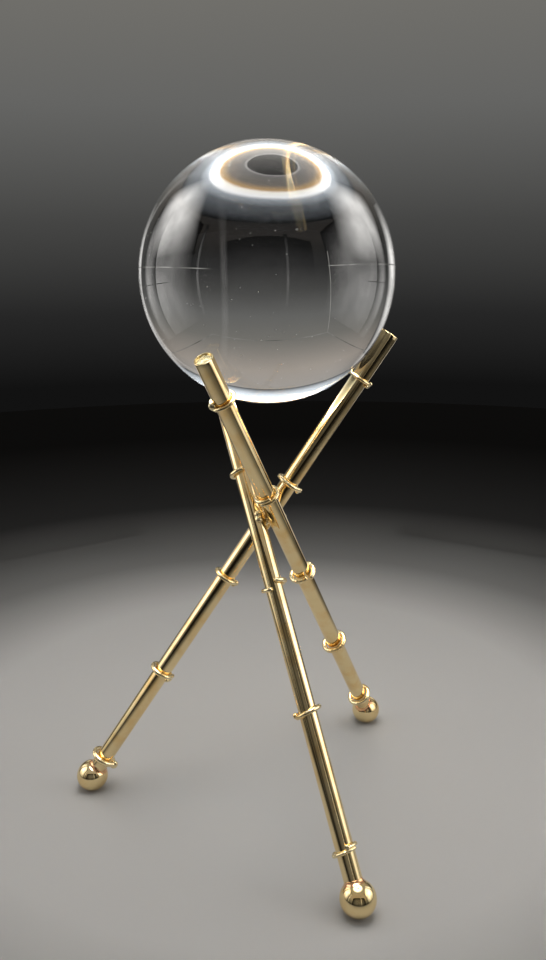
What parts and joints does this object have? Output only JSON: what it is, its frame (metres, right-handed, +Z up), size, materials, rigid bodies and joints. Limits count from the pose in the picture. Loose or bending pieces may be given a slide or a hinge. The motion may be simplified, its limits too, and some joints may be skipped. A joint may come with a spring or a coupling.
{
  "type": "crystal ball on a tripod stand",
  "caption": "Clear crystal ball that rests loose in the cradle of a tripod of crossed, soldered, bamboo-style brass tubes with ball feet.",
  "frame": {"origin": "on the floor plane under the point where the three legs cross, midway between the feet", "axes": "+Z up; seen from -Y with +X to the right, leg A's upper end is at the front left and leg B's foot is the nearest"},
  "size_m": [0.1206, 0.1227, 0.2287],
  "materials": {
    "crystal": "clear, polished, with a few seeds",
    "polished_brass": "mirror polished, lacquered",
    "ring_wire": "polished wire",
    "bare_brass": "turned, unpolished",
    "solder": "brass solder, lumpy and plated over"
  },
  "bodies": {
    "stand": {"leg_tube_a": "polished_brass", "leg_tube_b": "polished_brass", "leg_tube_c": "polished_brass", "foot_a": "polished_brass", "foot_b": "polished_brass", "foot_c": "polished_brass", "foot_stud_a": "bare_brass", "foot_stud_b": "bare_brass", "foot_stud_c": "bare_brass", "tube_plug_a": "solder", "tube_plug_b": "solder", "tube_plug_c": "solder", "ring_a1": "ring_wire", "ring_a2": "ring_wire", "ring_a3": "ring_wire", "ring_a4": "ring_wire", "ring_a5": "ring_wire", "ring_b1": "ring_wire", "ring_b2": "ring_wire", "ring_b3": "ring_wire", "ring_b4": "ring_wire", "ring_b5": "ring_wire", "ring_c1": "ring_wire", "ring_c2": "ring_wire", "ring_c3": "ring_wire", "ring_c4": "ring_wire", "ring_c5": "ring_wire", "crossing_solder": "solder"},
    "ball": {"crystal_ball": "crystal"}
  },
  "joints": [
    {"name": "ball_lift", "type": "slide", "parent": "stand", "child": "ball", "axis": [0, 0, 1], "range_m": [0, 0.035]}
  ]
}
